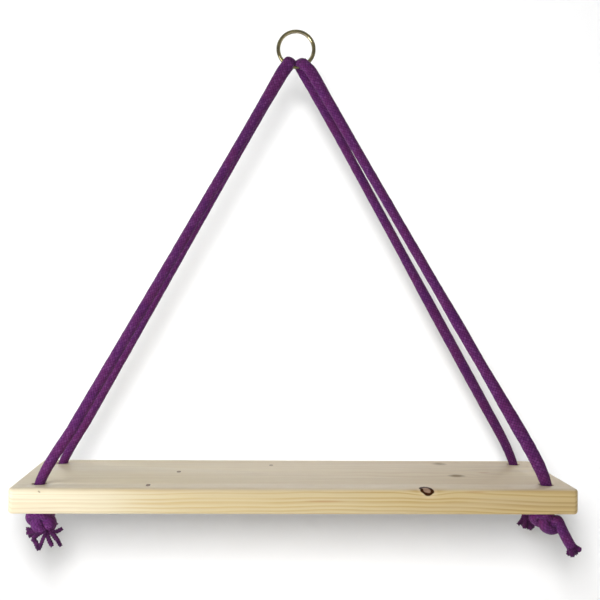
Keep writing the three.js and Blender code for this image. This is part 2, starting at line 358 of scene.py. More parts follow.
def add_tube(bm, route, widths, thicknesses, normals, sides, strands, lay, swell):
    """Adds a closed tube of oval sections, thin along the normals, whose UV counts its strands.

    Lay is the length in which a strand goes once round, and swell scales each point's radius."""
    stations = len(route)
    ahead, across, beside = cross_frames(route)
    normals = normals - ahead * (normals * ahead).sum(axis=1)[:, None]
    normals /= np.linalg.norm(normals, axis=1)[:, None]
    turn = np.arange(sides + 1) / sides
    round_x, round_y = np.cos(2 * math.pi * turn), np.sin(2 * math.pi * turn)
    offsets = across[:, None, :] * round_x[None, :, None] + beside[:, None, :] * round_y[None, :, None]
    thin = (offsets * normals[:, None, :]).sum(axis=2, keepdims=True) * normals[:, None, :]
    shaped = (offsets - thin) * widths[:, None, None] / 2 + thin * thicknesses[:, None, None] / 2
    surface = route[:, None, :] + shaped * swell[:, :, None]
    along = route_lengths(route) / lay * strands
    uv = bm.loops.layers.uv.verify()
    made = bmesh.ops.create_grid(bm, x_segments=sides, y_segments=stations - 1, size=1, calc_uvs=True)
    verts = made["verts"]
    for vert in verts:
        place = round((vert.co.x + 1) / 2 * sides)
        ring = round((vert.co.y + 1) / 2 * (stations - 1))
        vert.co = surface[ring, place]
    faces = {face for vert in verts for face in vert.link_faces}
    for face in faces:
        for loop in face.loops:
            share_round, share_along = loop[uv].uv
            ring = round(share_along * (stations - 1))
            loop[uv].uv = (share_round * strands, along[ring])
    bmesh.ops.remove_doubles(bm, verts=verts, dist=1e-7)
    rims = {edge for face in faces for edge in face.edges if edge.is_boundary}
    bmesh.ops.holes_fill(bm, edges=list(rims), sides=0)


def slow_waves(reach, turn, amount, seed):
    """A gentle unevenness round and along a tube, as a factor about 1."""
    rng = random.Random(seed)
    factor = np.ones((len(reach), len(turn)))
    for length in UNEVEN_LENGTHS:
        lobes = rng.choice((0, 1, 2, 3))
        phase, drift = rng.uniform(0, 6.28), rng.uniform(0, 6.28)
        wave = np.sin(2 * math.pi * reach[:, None] / length + phase + lobes * 2 * math.pi * turn[None, :])
        factor += amount / 2 * wave * np.cos(2 * math.pi * reach[:, None] / (length * 3.7) + drift)
    return factor


def cord_tube(name, route, widths, thicknesses, normals):
    """A braided cord's skin along a route."""
    bm = bmesh.new()
    bm.loops.layers.uv.new("braid")
    turn = np.arange(CORD_SIDES + 1) / CORD_SIDES
    swell = slow_waves(route_lengths(route), turn, CORD_UNEVEN, name)
    add_tube(bm, route, widths, thicknesses, normals, CORD_SIDES, PLAITS, PLAIT_LAY, swell)
    bmesh.ops.recalc_face_normals(bm, faces=bm.faces[:])
    return finished(name, bm)


def finished(name, bm, smooth=True):
    """Turns a bmesh into a named object at the origin."""
    mesh = bpy.data.meshes.new(name)
    bm.to_mesh(mesh)
    bm.free()
    if smooth:
        mesh.shade_smooth()
    piece = bpy.data.objects.new(name, mesh)
    bpy.context.collection.objects.link(piece)
    return piece


# Cords

def cord_sections(side, route):
    """The cord's width and thickness at each ring, and the way its thin side faces."""
    reach = route_lengths(route)
    wire = np.array((SIDES[side] * wire_x, 0, wire_z))
    along = wire_direction(side)
    middle = reach[over_wire(route)]
    wrap = wrap_radius * leave_angle()
    widths, thicknesses = np.zeros(len(route)), np.zeros(len(route))
    normals = np.zeros_like(route)
    for index, point in enumerate(route):
        face = "front" if reach[index] < middle else "back"
        leg = (middle if face == "front" else reach[-1] - middle) - wrap
        run = abs(reach[index] - middle)
        share = min(max((run - wrap) / leg, 0), 1)
        table = np.array(CORNERS[side, face]["widths"])
        over = min(max(1 - run / wrap, 0), 1)
        widths[index] = np.interp(share, table[:, 0], table[:, 1]) * MM
        thicknesses[index] = np.interp(share, table[:, 0], table[:, 2]) * MM
        widths[index] += (BAND_WIDTH - widths[index]) * over
        thicknesses[index] += (BAND_THICKNESS[side] - thicknesses[index]) * over
        normals[index] = point - wire if run < wrap else (0, FACES[face], 0.2)
        normals[index] -= along * (normals[index] @ along)
        normals[index] /= np.linalg.norm(normals[index])
    return smoothed(widths), smoothed(thicknesses), smoothed_rows(normals)


def settled(route, normals):
    """Directions across a route, turned to each other where they would jump."""
    ahead = cross_frames(route)[0]
    for _ in range(3):
        normals = normals - ahead * (normals * ahead).sum(axis=1)[:, None]
        normals /= np.linalg.norm(normals, axis=1)[:, None]
        for index in range(1, len(normals)):
            if normals[index] @ normals[index - 1] < 0:
                normals[index] *= -1
        normals = smoothed_rows(normals)
    return normals


def smoothed(values):
    """A running mean over nine values, with the first and last repeated past the ends."""
    padded = np.concatenate([np.full(4, values[0]), values, np.full(4, values[-1])])
    return np.convolve(padded, np.ones(9) / 9, mode="valid")


def smoothed_rows(rows):
    """A running mean of points or directions."""
    return np.column_stack([smoothed(axis) for axis in rows.T])


def make_cord(side):
    """A cord over the wire, and the route of its middle."""
    route = cord_route(side)
    return cord_tube(f"{side}_cord", route, *cord_sections(side, route)), route


# Knots and frayed ends

def knot_middle(side, face):
    """The middle of a knot, under its hole."""
    return np.array((SIDES[side] * hole_x, FACES[face] * hole_y, board_under - KNOT_DROP))


def knot_turns(turn):
    """An overhand knot's own turns, opened at one outer lobe, in cord diameters."""
    points = []
    for angle in np.radians(np.arange(KNOT_START, KNOT_START + KNOT_SWEEP, KNOT_STEP)):
        reach = KNOT_REACH + KNOT_WRAP * math.cos(3 * angle)
        depth = KNOT_WRAP * math.sin(3 * angle)
        side = reach * math.sin(2 * angle) * KNOT_WIDTH
        up = -reach * math.cos(2 * angle) * KNOT_HEIGHT
        points.append((
            side * math.cos(turn) - depth * math.sin(turn),
            side * math.sin(turn) + depth * math.cos(turn),
            up,
        ))
    return np.array(points) * KNOT_SIZE


def knot_route(side, face):
    """Down the bore, round the knot and out along the tail."""
    corner = CORNERS[side, face]
    middle = knot_middle(side, face)
    outward = SIDES[side]
    turns = knot_turns(math.radians(corner["turn"])) * (corner["open_side"], 1, 1)
    turns[:, 0] += corner["shift"] - corner["lean"] * turns[:, 2]
    shank = [(0, 0, (board_top - SHANK_TOP - middle[2]) / CORD_DIAMETER), (0, 0.03, 1.45)]
    points = np.vstack([shank, turns, corner["tail"]])
    route = smooth_route(middle + points * (outward, 1, 1) * CORD_DIAMETER, KNOT_SPACING)
    return smoothed_rows(smoothed_rows(route))


def make_knot(side, face):
    """A knot with its shank and tail, and the route of the cord through it."""
    route = knot_route(side, face)
    reach = route_lengths(route)
    left = reach[-1] - reach
    swollen = np.minimum((reach - SHANK_LENGTH) / SHANK_SWELLING, (left - TAIL_LENGTH) / TAIL_TAPER)
    swollen = np.clip(swollen, 0, 1)
    neck = 1 - NECK_DEPTH * np.clip(1 - left / NECK_LENGTH, 0, 1)
    widths = (TAIL_WIDTH + (KNOT_CORD_WIDTH - TAIL_WIDTH) * swollen) * neck
    thicknesses = (TAIL_WIDTH + (KNOT_CORD_THICKNESS - TAIL_WIDTH) * swollen) * neck
    never_zero = np.array((0, 1e-5, 0))
    normals = settled(route, route - knot_middle(side, face) + never_zero)
    return cord_tube(f"{side}_{face}_knot", route, widths, thicknesses, normals), route


def flare_plies(route, count, length, splay, width, rng):
    """Plies spread evenly about a tail's end, the outer ones leaning and curling out."""
    end = route[-1]
    ahead = route[-1] - route[-4]
    ahead /= np.linalg.norm(ahead)
    across = np.cross(ahead, (0.3, 1, 0.1))
    across /= np.linalg.norm(across)
    beside = np.cross(ahead, across)
    rooted, gathered = TAIL_WIDTH / 2 - width * 0.42, TAIL_WIDTH / 2 - width * 0.36
    plies = []
    for ply in range(count):
        angle = ply * PLY_TURN
        out = math.sqrt((ply + 0.3) / count)
        aside = across * math.cos(angle) + beside * math.sin(angle)
        long = length * rng.uniform(0.8, 1.15)
        lean = math.radians(splay) * out * rng.uniform(0.8, 1.2)
        curl = math.radians(rng.uniform(5, 30)) * out
        root = end - ahead * PLY_ROOT + aside * out * rooted
        collar = end + aside * out * gathered
        half = collar + (ahead * math.cos(lean) + aside * math.sin(lean)) * long / 2
        tip = half + (ahead * math.cos(lean + curl) + aside * math.sin(lean + curl)) * long / 2
        plies.append([root, collar, half, tip])
    return plies


def add_ply(bm, points, width, rng):
    """A cut ply: two twisted yarns with a blunt end, and a few loose threads at its tip."""
    route = smooth_route(points, PLY_SPACING)
    reach = route_lengths(route)
    share = reach / reach[-1]
    widths = width * np.interp(share, (0, 0.25, 0.75, 0.92, 1), (0.85, 1, 1.06, 0.98, 0.55))
    turn = np.arange(PLY_SIDES + 1) / PLY_SIDES
    twist = reach[:, None] / PLY_TWIST + rng.random()
    swell = 1 + PLY_GROOVE * np.cos(4 * math.pi * (turn[None, :] - twist))
    normals = np.cross(route[-1] - route[0], (0.4, 0.2, 1)) + np.zeros_like(route)
    add_tube(bm, route, widths, widths * PLY_FLATNESS, normals, PLY_SIDES, PLY_STRANDS, PLY_LAY, swell)
    ahead, across, beside = cross_frames(route)
    for thread in range(THREADS):
        angle = (thread + rng.random()) * 2 * math.pi / THREADS
        aside = across[-1] * math.cos(angle) + beside[-1] * math.sin(angle)
        root = route[-3] + aside * width * 0.22
        tip = root + ahead[-1] * rng.uniform(1.2, 2.2) * MM + aside * rng.uniform(0.3, 1.1) * MM
        strand = smooth_route([root, (root + tip) / 2 + aside * 0.2 * MM, tip], THREAD_SPACING)
        thin = np.linspace(1, 0.6, len(strand)) * THREAD_WIDTH
        facing = np.cross(ahead[-1], aside) + np.zeros_like(strand)
        even = np.ones((len(strand), THREAD_SIDES + 1))
        add_tube(bm, strand, thin, thin, facing, THREAD_SIDES, THREAD_STRANDS, THREAD_LAY, even)


def make_fray(side, face, route):
    """The cord's plies where its end came undone, as one piece."""
    corner = CORNERS[side, face]
    rng = random.Random(f"{side} {face} fray")
    width = corner["ply_width"] * MM
    if "plies" in corner:
        middle = knot_middle(side, face)
        plies = [middle + np.array(ply) * (SIDES[side], 1, 1) * CORD_DIAMETER for ply in corner["plies"]]
    else:
        flare = corner["flare"]
        plies = flare_plies(route, flare["count"], flare["length"] * MM, flare["splay"], width, rng)
    bm = bmesh.new()
    bm.loops.layers.uv.new("twist")
    for ply in plies:
        add_ply(bm, ply, width * rng.uniform(0.85, 1.1), rng)
    bmesh.ops.recalc_face_normals(bm, faces=bm.faces[:])
    return finished(f"{side}_{face}_fray", bm)


# Board and ring

def bevel(bm, edges, width, segments):
    """Rounds edges off."""
    bmesh.ops.bevel(
        bm, geom=edges, offset=width, offset_type="OFFSET", segments=segments,
        profile=0.5, affect="EDGES", clamp_overlap=True, material=-1,
    )


def is_level(edge):
    """Whether an edge lies level."""
    return abs(edge.verts[0].co.z - edge.verts[1].co.z) < 1e-6


def on_rim(edge):
    """Whether an edge lies on the rim of a hole, where a bore meets a flat face."""
    for vert in edge.verts:
        across = math.hypot(abs(vert.co.x) - hole_x, abs(vert.co.y) - hole_y)
        flat = min(abs(vert.co.z - board_top), abs(vert.co.z - board_under))
        if abs(across - HOLE_DIAMETER / 2) > 1e-5 or flat > 1e-5:
            return False
    return is_level(edge)


def drilled(board):
    """The board's mesh with its four holes cut out."""
    drills = bmesh.new()
    radius = HOLE_DIAMETER / 2
    middle_z = board_top - BOARD_THICKNESS / 2
    for outward in SIDES.values():
        for backward in FACES.values():
            place = Matrix.Translation((outward * hole_x, backward * hole_y, middle_z))
            bmesh.ops.create_cone(
                drills, cap_ends=True, segments=64, radius1=radius, radius2=radius,
                depth=2 * BOARD_THICKNESS, matrix=place,
            )
    drill = finished("drills", drills)
    cut = board.modifiers.new("holes", "BOOLEAN")
    cut.object = drill
    cut.solver = "EXACT"
    mesh = bpy.data.meshes.new_from_object(board.evaluated_get(bpy.context.evaluated_depsgraph_get()))
    board.modifiers.clear()
    bpy.data.objects.remove(drill)
    return mesh


def make_board():
    """A planed board with rounded edges and four drilled holes with broken rims."""
    bm = bmesh.new()
    bmesh.ops.create_cube(bm, size=1)
    bmesh.ops.scale(bm, vec=(BOARD_LENGTH, BOARD_DEPTH, BOARD_THICKNESS), verts=bm.verts[:])
    bmesh.ops.translate(bm, vec=(0, 0, board_top - BOARD_THICKNESS / 2), verts=bm.verts[:])
    bevel(bm, [edge for edge in bm.edges if not is_level(edge)], BOARD_CORNER, 5)
    around = [edge for edge in bm.edges if is_level(edge) and edge.calc_face_angle(0) > 1]
    bevel(bm, around, BOARD_EDGE, 5)
    board = finished("pine_board", bm)
    board.data = drilled(board)
    bm = bmesh.new()
    bm.from_mesh(board.data)
    bevel(bm, [edge for edge in bm.edges if on_rim(edge)], HOLE_RIM, 2)
    bm.to_mesh(board.data)
    bm.free()
    board.data.materials.clear()
    board.data.shade_smooth()
    board.data.set_sharp_from_angle(angle=math.radians(32))
    return board


def make_ring():
    """A closed brass ring: a round section spun about the ring's axis."""
    bm = bmesh.new()
    section = bmesh.ops.create_circle(bm, cap_ends=False, segments=28, radius=RING_WIRE / 2)["verts"]
    bmesh.ops.translate(bm, vec=(ring_radius, 0, 0), verts=section)
    bmesh.ops.spin(
        bm, geom=bm.verts[:] + bm.edges[:], cent=(0, 0, 0), axis=(0, 1, 0), angle=2 * math.pi,
        steps=144, use_merge=True,
    )
    bmesh.ops.translate(bm, vec=(0, 0, ring_centre_z), verts=bm.verts[:])
    bmesh.ops.recalc_face_normals(bm, faces=bm.faces[:])
    return finished("brass_ring", bm)


# Materials

class Finish:
    """A material's nodes, made by short calls."""

    def __init__(self, name):
        self.material = bpy.data.materials.new(name)
        self.material.use_nodes = True
        self.tree = self.material.node_tree
        self.shader = self.tree.nodes["Principled BSDF"]

    def node(self, kind, inputs=(), **values):
        made = self.tree.nodes.new(kind)
        for name, value in values.items():
            setattr(made, name, value)
        for socket, value in dict(inputs).items():
            self.feed(made.inputs[socket], value)
        return made

    def feed(self, socket, value):
        if isinstance(value, bpy.types.NodeSocket):
            self.tree.links.new(value, socket)
        elif isinstance(value, tuple) and socket.type == "RGBA":
            socket.default_value = (*value, 1)
        else:
            socket.default_value = value

    def math(self, operation, *values):
        return self.node("ShaderNodeMath", dict(enumerate(values)), operation=operation).outputs[0]

    def vector(self, operation, *values):
        made = self.node("ShaderNodeVectorMath", dict(enumerate(values)), operation=operation)
        return made.outputs["Value" if operation == "LENGTH" else "Vector"]

    def combine(self, x, y, z):
        return self.node("ShaderNodeCombineXYZ", {0: x, 1: y, 2: z}).outputs[0]

    def separate(self, vector):
        return self.node("ShaderNodeSeparateXYZ", {0: vector}).outputs

    def noise(self, vector, scale=1.0, detail=2.0, roughness=0.5):
        return self.node("ShaderNodeTexNoise", {
            "Vector": vector, "Scale": scale, "Detail": detail, "Roughness": roughness,
        }).outputs["Fac"]

    def spread(self, value, low, high, to_low=0.0, to_high=1.0, smooth=False):
        return self.node("ShaderNodeMapRange", {
            "Value": value, "From Min": low, "From Max": high, "To Min": to_low, "To Max": to_high,
        }, interpolation_type="SMOOTHSTEP" if smooth else "LINEAR").outputs[0]

    def mix(self, share, first, second):
        return self.node("ShaderNodeMix", {0: share, 6: first, 7: second}, data_type="RGBA").outputs[2]

    def choose(self, share, first, second):
        return self.node("ShaderNodeMix", {0: share, 2: first, 3: second}, data_type="FLOAT").outputs[0]

    def bump(self, height, strength, distance):
        return self.node("ShaderNodeBump", {
            "Height": height, "Strength": strength, "Distance": distance,
        }).outputs[0]

    def object_place(self):
        return self.node("ShaderNodeTexCoord").outputs["Object"]

    def from_spot(self, place, centre, half):
        """The way from a spot's middle, in its half sizes. Both are given in mm."""
        away = self.vector("SUBTRACT", place, tuple(value * MM for value in centre))
        return self.vector("DIVIDE", away, tuple(value * MM for value in half))

    def set(self, **inputs):
        for name, value in inputs.items():
            self.feed(self.shader.inputs[name.replace("_", " ")], value)


# Pine: the growth rings' spacing, the pith they go round, and where the top face's painted sheen starts
GROWTH_RING = 3.4 * MM
PITH_Y = 12 * MM
PITH_Z = -610 * MM
TOP_PAINTED_SHEEN = (-504.2 * MM, -502.5 * MM)
PINE = {
    # The first four: the front's tone from its pale left end to its darker, more saturated right end,
    # partly the wood's own tone and partly painted light falling off from the left
    "pale left wood and painted light": (0.82, 0.75, 0.55),
    "left": (0.71, 0.60, 0.355),
    "middle": (0.755, 0.62, 0.345),
    "right": (0.735, 0.545, 0.23),
    "patches": (0.74, 0.58, 0.30),
    "late wood": (0.56, 0.36, 0.11),
    # The top face's two tones: paler and bluer than the front, a painted sheen standing in for the
    # reflection seen at a grazing view
    "top left painted sheen": (0.765, 0.68, 0.495),
    "top right painted sheen": (0.77, 0.69, 0.575),
    "dull streaks": (0.60, 0.49, 0.35),
    "fibres": (0.58, 0.42, 0.21),
    "red streaks": (0.52, 0.25, 0.09),
    "round knots": (0.84, 0.68, 0.46),
    "dark fill": (0.26, 0.15, 0.09),
    "light fill": (0.56, 0.38, 0.27),
    "smudges": (0.20, 0.125, 0.035),
    "bark": (0.045, 0.013, 0.003),
}

# Knots in the wood, in mm: centre, half sizes, how far each pushes the grain aside,
# how soft its edge is and how dark its inside
WOOD_KNOTS = [
    ((137, -96, -503.2), (6.6, 12, 5.2), 3.5, 0.1, 1),
    ((-156.5, -77, -502), (2.2, 6, 4), 2, 0.4, 1),
    ((-129.5, 9, -502), (2.2, 6, 4), 2, 0.5, 0.9),
    ((-22.7, 57, -502), (2.4, 6, 4), 2, 0.6, 0.6),
    ((182, 70, -502), (8.5, 10, 5), 3, 1.2, 0.7),
    ((186, -14, -502), (9, 9, 5), 3, 1.0, 0.85),
    ((-269, -97, -505.5), (1.2, 3, 1.2), 1, 0.6, 0.5),
]

# Reddish streaks along the grain, in mm: centre and half sizes
WOOD_STREAKS = [
    ((190, -97, -505), (15, 8, 1.1)),
    ((222, 8, -502), (9, 4, 3)),
    ((30, -97, -515), (26, 8, 1.4)),
]


def wood_knots(wood, place, z):
    """Where the wood's knots push the grain, are dark, have a rim of bark and a pale ring round them."""
    leaning = wood.math("MULTIPLY", wood.math("SUBTRACT", z, board_top), 0.5)
    slanted = wood.vector("ADD", place, wood.combine(leaning, 0.0, 0.0))
    uneven = wood.math("MULTIPLY", wood.math("SUBTRACT", wood.noise(place, 260.0), 0.5), 0.5)
    push, dark, rim, halo = 0.0, 0.0, 0.0, 0.0
    for centre, half, reach, soft, depth in WOOD_KNOTS:
        crisp = 1 - min(soft, 1)
        offset = wood.from_spot(slanted, centre, half)
        span = wood.math("ADD", wood.vector("LENGTH", offset), uneven)
        wide = wood.vector("LENGTH", wood.vector("MULTIPLY", offset, (0.34, 0.6, 0.6)))
        bulge = wood.math("EXPONENT", wood.math("MULTIPLY", wood.math("MULTIPLY", wide, wide), -1.0))
        push = wood.math("ADD", wood.math("MULTIPLY", bulge, reach * MM), push)
        inside = wood.spread(span, 0.95 - soft * 0.6, 0.95 + soft * 0.4, depth, 0.0, smooth=True)
        edge = wood.math(
            "MULTIPLY", wood.spread(span, 0.42, 0.66, 0.0, 1.0, smooth=True),
            wood.spread(span, 1.0, 1.16, depth * crisp * 1.3, 0.0, smooth=True),
        )
        dark = wood.math("MAXIMUM", inside, dark)
        rim = wood.math("MAXIMUM", edge, rim)
        halo = wood.math("MAXIMUM", wood.spread(span, 1.1, 1.9, crisp, 0.0, smooth=True), halo)
    return push, dark, rim, halo


def late_wood(wood, place, y, z, push):
    """The dark part of each growth ring: slow to darken and quick to end, as a factor."""
    slow = wood.noise(wood.vector("MULTIPLY", place, (1.8, 7, 7)), detail=2.0)
    ripple = wood.noise(wood.vector("MULTIPLY", place, (10, 24, 24)), detail=1.0)
    bend = wood.math("ADD", wood.math("MULTIPLY", slow, 0.024), wood.math("MULTIPLY", ripple, 0.0055))
    across = wood.math("SUBTRACT", y, PITH_Y)
    height = wood.math("ADD", wood.math("SUBTRACT", z, PITH_Z), bend)
    radius = wood.math("ADD", wood.vector("LENGTH", wood.combine(0.0, across, height)), push)
    varied = wood.math("MULTIPLY", wood.noise(wood.combine(radius, 0.0, 0.0), 90.0), 2.6)
    ring = wood.math("FRACT", wood.math("ADD", wood.math("DIVIDE", radius, GROWTH_RING), varied))
    return wood.math(
        "MULTIPLY", wood.spread(ring, 0.3, 0.85, 0.0, 1.0, smooth=True),
        wood.spread(ring, 0.88, 1.0, 1.0, 0.0, smooth=True),
    )


def red_streaks(wood, place):
    """Where the reddish streaks lie, as a factor."""
    stain = 0.0
    for centre, half in WOOD_STREAKS:
        span = wood.vector("LENGTH", wood.from_spot(place, centre, half))
        stain = wood.math("MAXIMUM", wood.spread(span, 0.3, 1.1, 0.45, 0.0, smooth=True), stain)
    return stain


def pine():
    """Planed pine: growth rings cut by the board, fine fibres, and knots that the grain flows round."""
    wood = Finish("pine")
    place = wood.object_place()
    x, y, z = wood.separate(place)
    push, dark, rim, halo = wood_knots(wood, place, z)
    late = late_wood(wood, place, y, z, push)
    fading = wood.noise(wood.vector("MULTIPLY", place, (9, 60, 60)), detail=2.0)
    strength = wood.math(
        "MULTIPLY", wood.spread(x, -0.28, 0.28, 0.25, 1.05), wood.spread(fading, 0.3, 0.65, 0.35, 1.2))
    fibres = wood.noise(wood.vector("MULTIPLY", place, (12, 800, 800)), detail=3.0, roughness=0.6)
    patches = wood.noise(wood.vector("MULTIPLY", place, (4, 18, 18)), detail=2.0)
    streaks = wood.noise(wood.vector("MULTIPLY", place, (5, 70, 70)), detail=2.0, roughness=0.6)

    # Front tone by x: pale at the left end, darker and more saturated to the right, partly the wood's own
    # tone and partly painted light falling off from the left
    darker = wood.mix(wood.spread(x, 0.04, 0.3), PINE["middle"], PINE["right"])
    wood_tone_and_painted_falloff = wood.mix(wood.spread(x, -0.1, 0.04), PINE["left"], darker)
    pale_left_wood_and_painted_light = wood.mix(wood.spread(x, -0.24, -0.11, smooth=True), PINE["pale left wood and painted light"], wood_tone_and_painted_falloff)
    patchy = wood.mix(wood.spread(patches, 0.35, 0.65, 0.0, 0.4), pale_left_wood_and_painted_light, PINE["patches"])
    lined = wood.mix(wood.math("MULTIPLY", late, strength), patchy, PINE["late wood"])
    # The top face mixed towards a paler, bluer tone: a painted sheen standing in for the reflection at a
    # grazing view
    top_painted_sheen = wood.mix(wood.spread(x, -0.18, 0.0), PINE["top left painted sheen"], PINE["top right painted sheen"])
    faced = wood.mix(wood.spread(z, *TOP_PAINTED_SHEEN, 0.0, 0.55), lined, top_painted_sheen)
    swept = wood.mix(wood.spread(streaks, 0.45, 0.75, 0.0, 0.3), faced, PINE["dull streaks"])
    grained = wood.mix(wood.spread(fibres, 0.4, 0.75, 0.0, 0.2), swept, PINE["fibres"])
    stained = wood.mix(red_streaks(wood, place), grained, PINE["red streaks"])
    ringed = wood.mix(wood.math("MULTIPLY", halo, 0.35), stained, PINE["round knots"])
    core = wood.mix(wood.noise(place, 500.0), PINE["dark fill"], PINE["light fill"])
    filled = wood.mix(wood.spread(halo, 0.2, 0.8), PINE["smudges"], core)
    colour = wood.mix(rim, wood.mix(dark, ringed, filled), PINE["bark"])

    matt = wood.spread(fibres, 0.3, 0.7, 0.42, 0.55)
    rough = wood.math("SUBTRACT", matt, wood.math("MULTIPLY", late, 0.05))
    relief = wood.math("ADD", wood.math("MULTIPLY", fibres, 0.6), wood.math("MULTIPLY", late, 0.4))
    shine = wood.spread(wood.math("MAXIMUM", rim, dark), 0.0, 1.0, 0.4, 0.03)
    wood.set(
        Base_Color=colour, Roughness=rough, Specular_IOR_Level=shine, Normal=wood.bump(relief, 0.2, 0.0003))
    return wood.material


# The cord's colours: two dyed shades of purple; a painted highlight on the crowns of some plaits, picked at
# random;
# and painted shade in the gaps between yarns and the hollows between plaits. The loose yarn is darker,
# partly as painted shade. The brass's dull olive is partly aged brass and partly a painted dark reflection,
# and its inside is rubbed bright, partly wear and partly a painted highlight.
COTTON = {
    "blue": (0.128, 0.019, 0.155),
    "red": (0.165, 0.023, 0.148),
    "painted highlight": (0.26, 0.07, 0.28),
    "painted shade in gaps": (0.055, 0.007, 0.060),
    "hollows": (0.028, 0.004, 0.032),
}
YARN = {
    "dark": (0.040, 0.006, 0.045),
    "light": (0.105, 0.016, 0.102),
    "flecks": (0.19, 0.05, 0.18),
    "hollows": (0.025, 0.004, 0.025),
}
BRASS = {
    "dull_and_painted_dark_reflection": (0.135, 0.113, 0.045),
    "dark": (0.05, 0.042, 0.018),
    "rubbed_and_painted_highlight": (0.52, 0.46, 0.30),
}


def braided_cotton():
    """Dyed cotton braid: plaits pass over and under, each a bundle of fine yarns."""
    cotton = Finish("braided_cotton")
    place = cotton.object_place()
    braid = cotton.node("ShaderNodeUVMap", uv_map="braid").outputs[0]
    stray = cotton.node("ShaderNodeTexNoise", {"Vector": place, "Scale": 210.0, "Detail": 1.0})
    even = cotton.vector("SUBTRACT", stray.outputs["Color"], (0.5, 0.5, 0.5))
    wander = cotton.vector("MULTIPLY", even, (0.3, 0.3, 0.0))
    around, along, _ = cotton.separate(cotton.vector("ADD", braid, wander))
    one, other = cotton.math("ADD", around, along), cotton.math("SUBTRACT", around, along)
    cell_one, cell_other = cotton.math("FLOOR", one), cotton.math("FLOOR", other)
    hand = cotton.math("FLOORED_MODULO", cotton.math("ADD", cell_one, cell_other), 2.0)
    first, second = cotton.math("FRACT", one), cotton.math("FRACT", other)
    across = cotton.choose(hand, first, second)
    run = cotton.choose(hand, second, first)
    middle = cotton.math("SUBTRACT", cotton.math("MULTIPLY", across, 2.0), 1.0)
    rounded = cotton.math("SUBTRACT", 1.0, cotton.math("MULTIPLY", middle, middle))
    crown = cotton.math("SQRT", cotton.math("MAXIMUM", rounded, 0.0))
    arch = cotton.math("SINE", cotton.math("MULTIPLY", run, math.pi))
    lift = cotton.math("MULTIPLY", crown, cotton.math("ADD", cotton.math("MULTIPLY", arch, 0.7), 0.3))
    shade = cotton.node(
        "ShaderNodeTexWhiteNoise", {"Vector": cotton.combine(cell_one, cell_other, 0.0)}).outputs["Value"]
    yarns = cotton.noise(cotton.combine(
        cotton.math("MULTIPLY", across, 7.0), cotton.math("MULTIPLY", run, 1.6),
        cotton.math("MULTIPLY", shade, 30.0)), detail=2.0, roughness=0.6)
    flecks = cotton.noise(place, 1100.0)
    patches = cotton.noise(place, 55.0)

    hue = cotton.mix(cotton.spread(patches, 0.35, 0.65), COTTON["blue"], COTTON["red"])
    # Some plaits, picked at random, made lighter: a painted highlight on their crowns
    bright = cotton.mix(cotton.spread(shade, 0.5, 1.0, 0.0, 0.55), hue, COTTON["painted highlight"])
    # Painted shade: darker in the gaps between yarns and in the hollows between plaits
    yarned = cotton.mix(cotton.spread(yarns, 0.3, 0.6, 0.5, 0.0), bright, COTTON["painted shade in gaps"])
    colour = cotton.mix(cotton.spread(lift, 0.1, 0.7, 0.7, 0.0), yarned, COTTON["hollows"])
    fine = cotton.math("ADD", cotton.math("MULTIPLY", yarns, 0.35), cotton.math("MULTIPLY", flecks, 0.12))
    cotton.set(
        Base_Color=colour, Roughness=0.92, Specular_IOR_Level=0.2, Sheen_Weight=0.08,
        Sheen_Roughness=0.5, Normal=cotton.bump(cotton.math("ADD", lift, fine), 0.8, 0.0007),
    )
    return cotton.material


def loose_yarn():
    """The same yarn come undone, coloured darker than the braid, partly as painted shade: its twist as fine
    slanting lines, with painted shade in its hollows.
    """
    yarn = Finish("loose_yarn")
    place = yarn.object_place()
    around, along, _ = yarn.separate(yarn.node("ShaderNodeUVMap", uv_map="twist").outputs[0])
    turn = yarn.math("FRACT", yarn.math("SUBTRACT", around, along))
    middle = yarn.math("SUBTRACT", yarn.math("MULTIPLY", turn, 2.0), 1.0)
    crown = yarn.math("SUBTRACT", 1.0, yarn.math("MULTIPLY", middle, middle))
    flecks = yarn.noise(place, 1300.0)
    patches = yarn.noise(place, 240.0)
    # The yarn's tones, darker than the braid's, partly painted shade
    hue = yarn.mix(yarn.spread(patches, 0.35, 0.65), YARN["dark"], YARN["light"])
    bright = yarn.mix(yarn.spread(flecks, 0.5, 0.75, 0.0, 0.35), hue, YARN["flecks"])
    # Painted shade in the hollows of the twist
    colour = yarn.mix(yarn.spread(crown, 0.0, 0.6, 0.65, 0.0), bright, YARN["hollows"])
    relief = yarn.math("ADD", crown, yarn.math("MULTIPLY", flecks, 0.4))
    yarn.set(
        Base_Color=colour, Roughness=0.93, Specular_IOR_Level=0.2, Sheen_Weight=0.08,
        Sheen_Roughness=0.5, Normal=yarn.bump(relief, 0.7, 0.0004),
    )
    return yarn.material


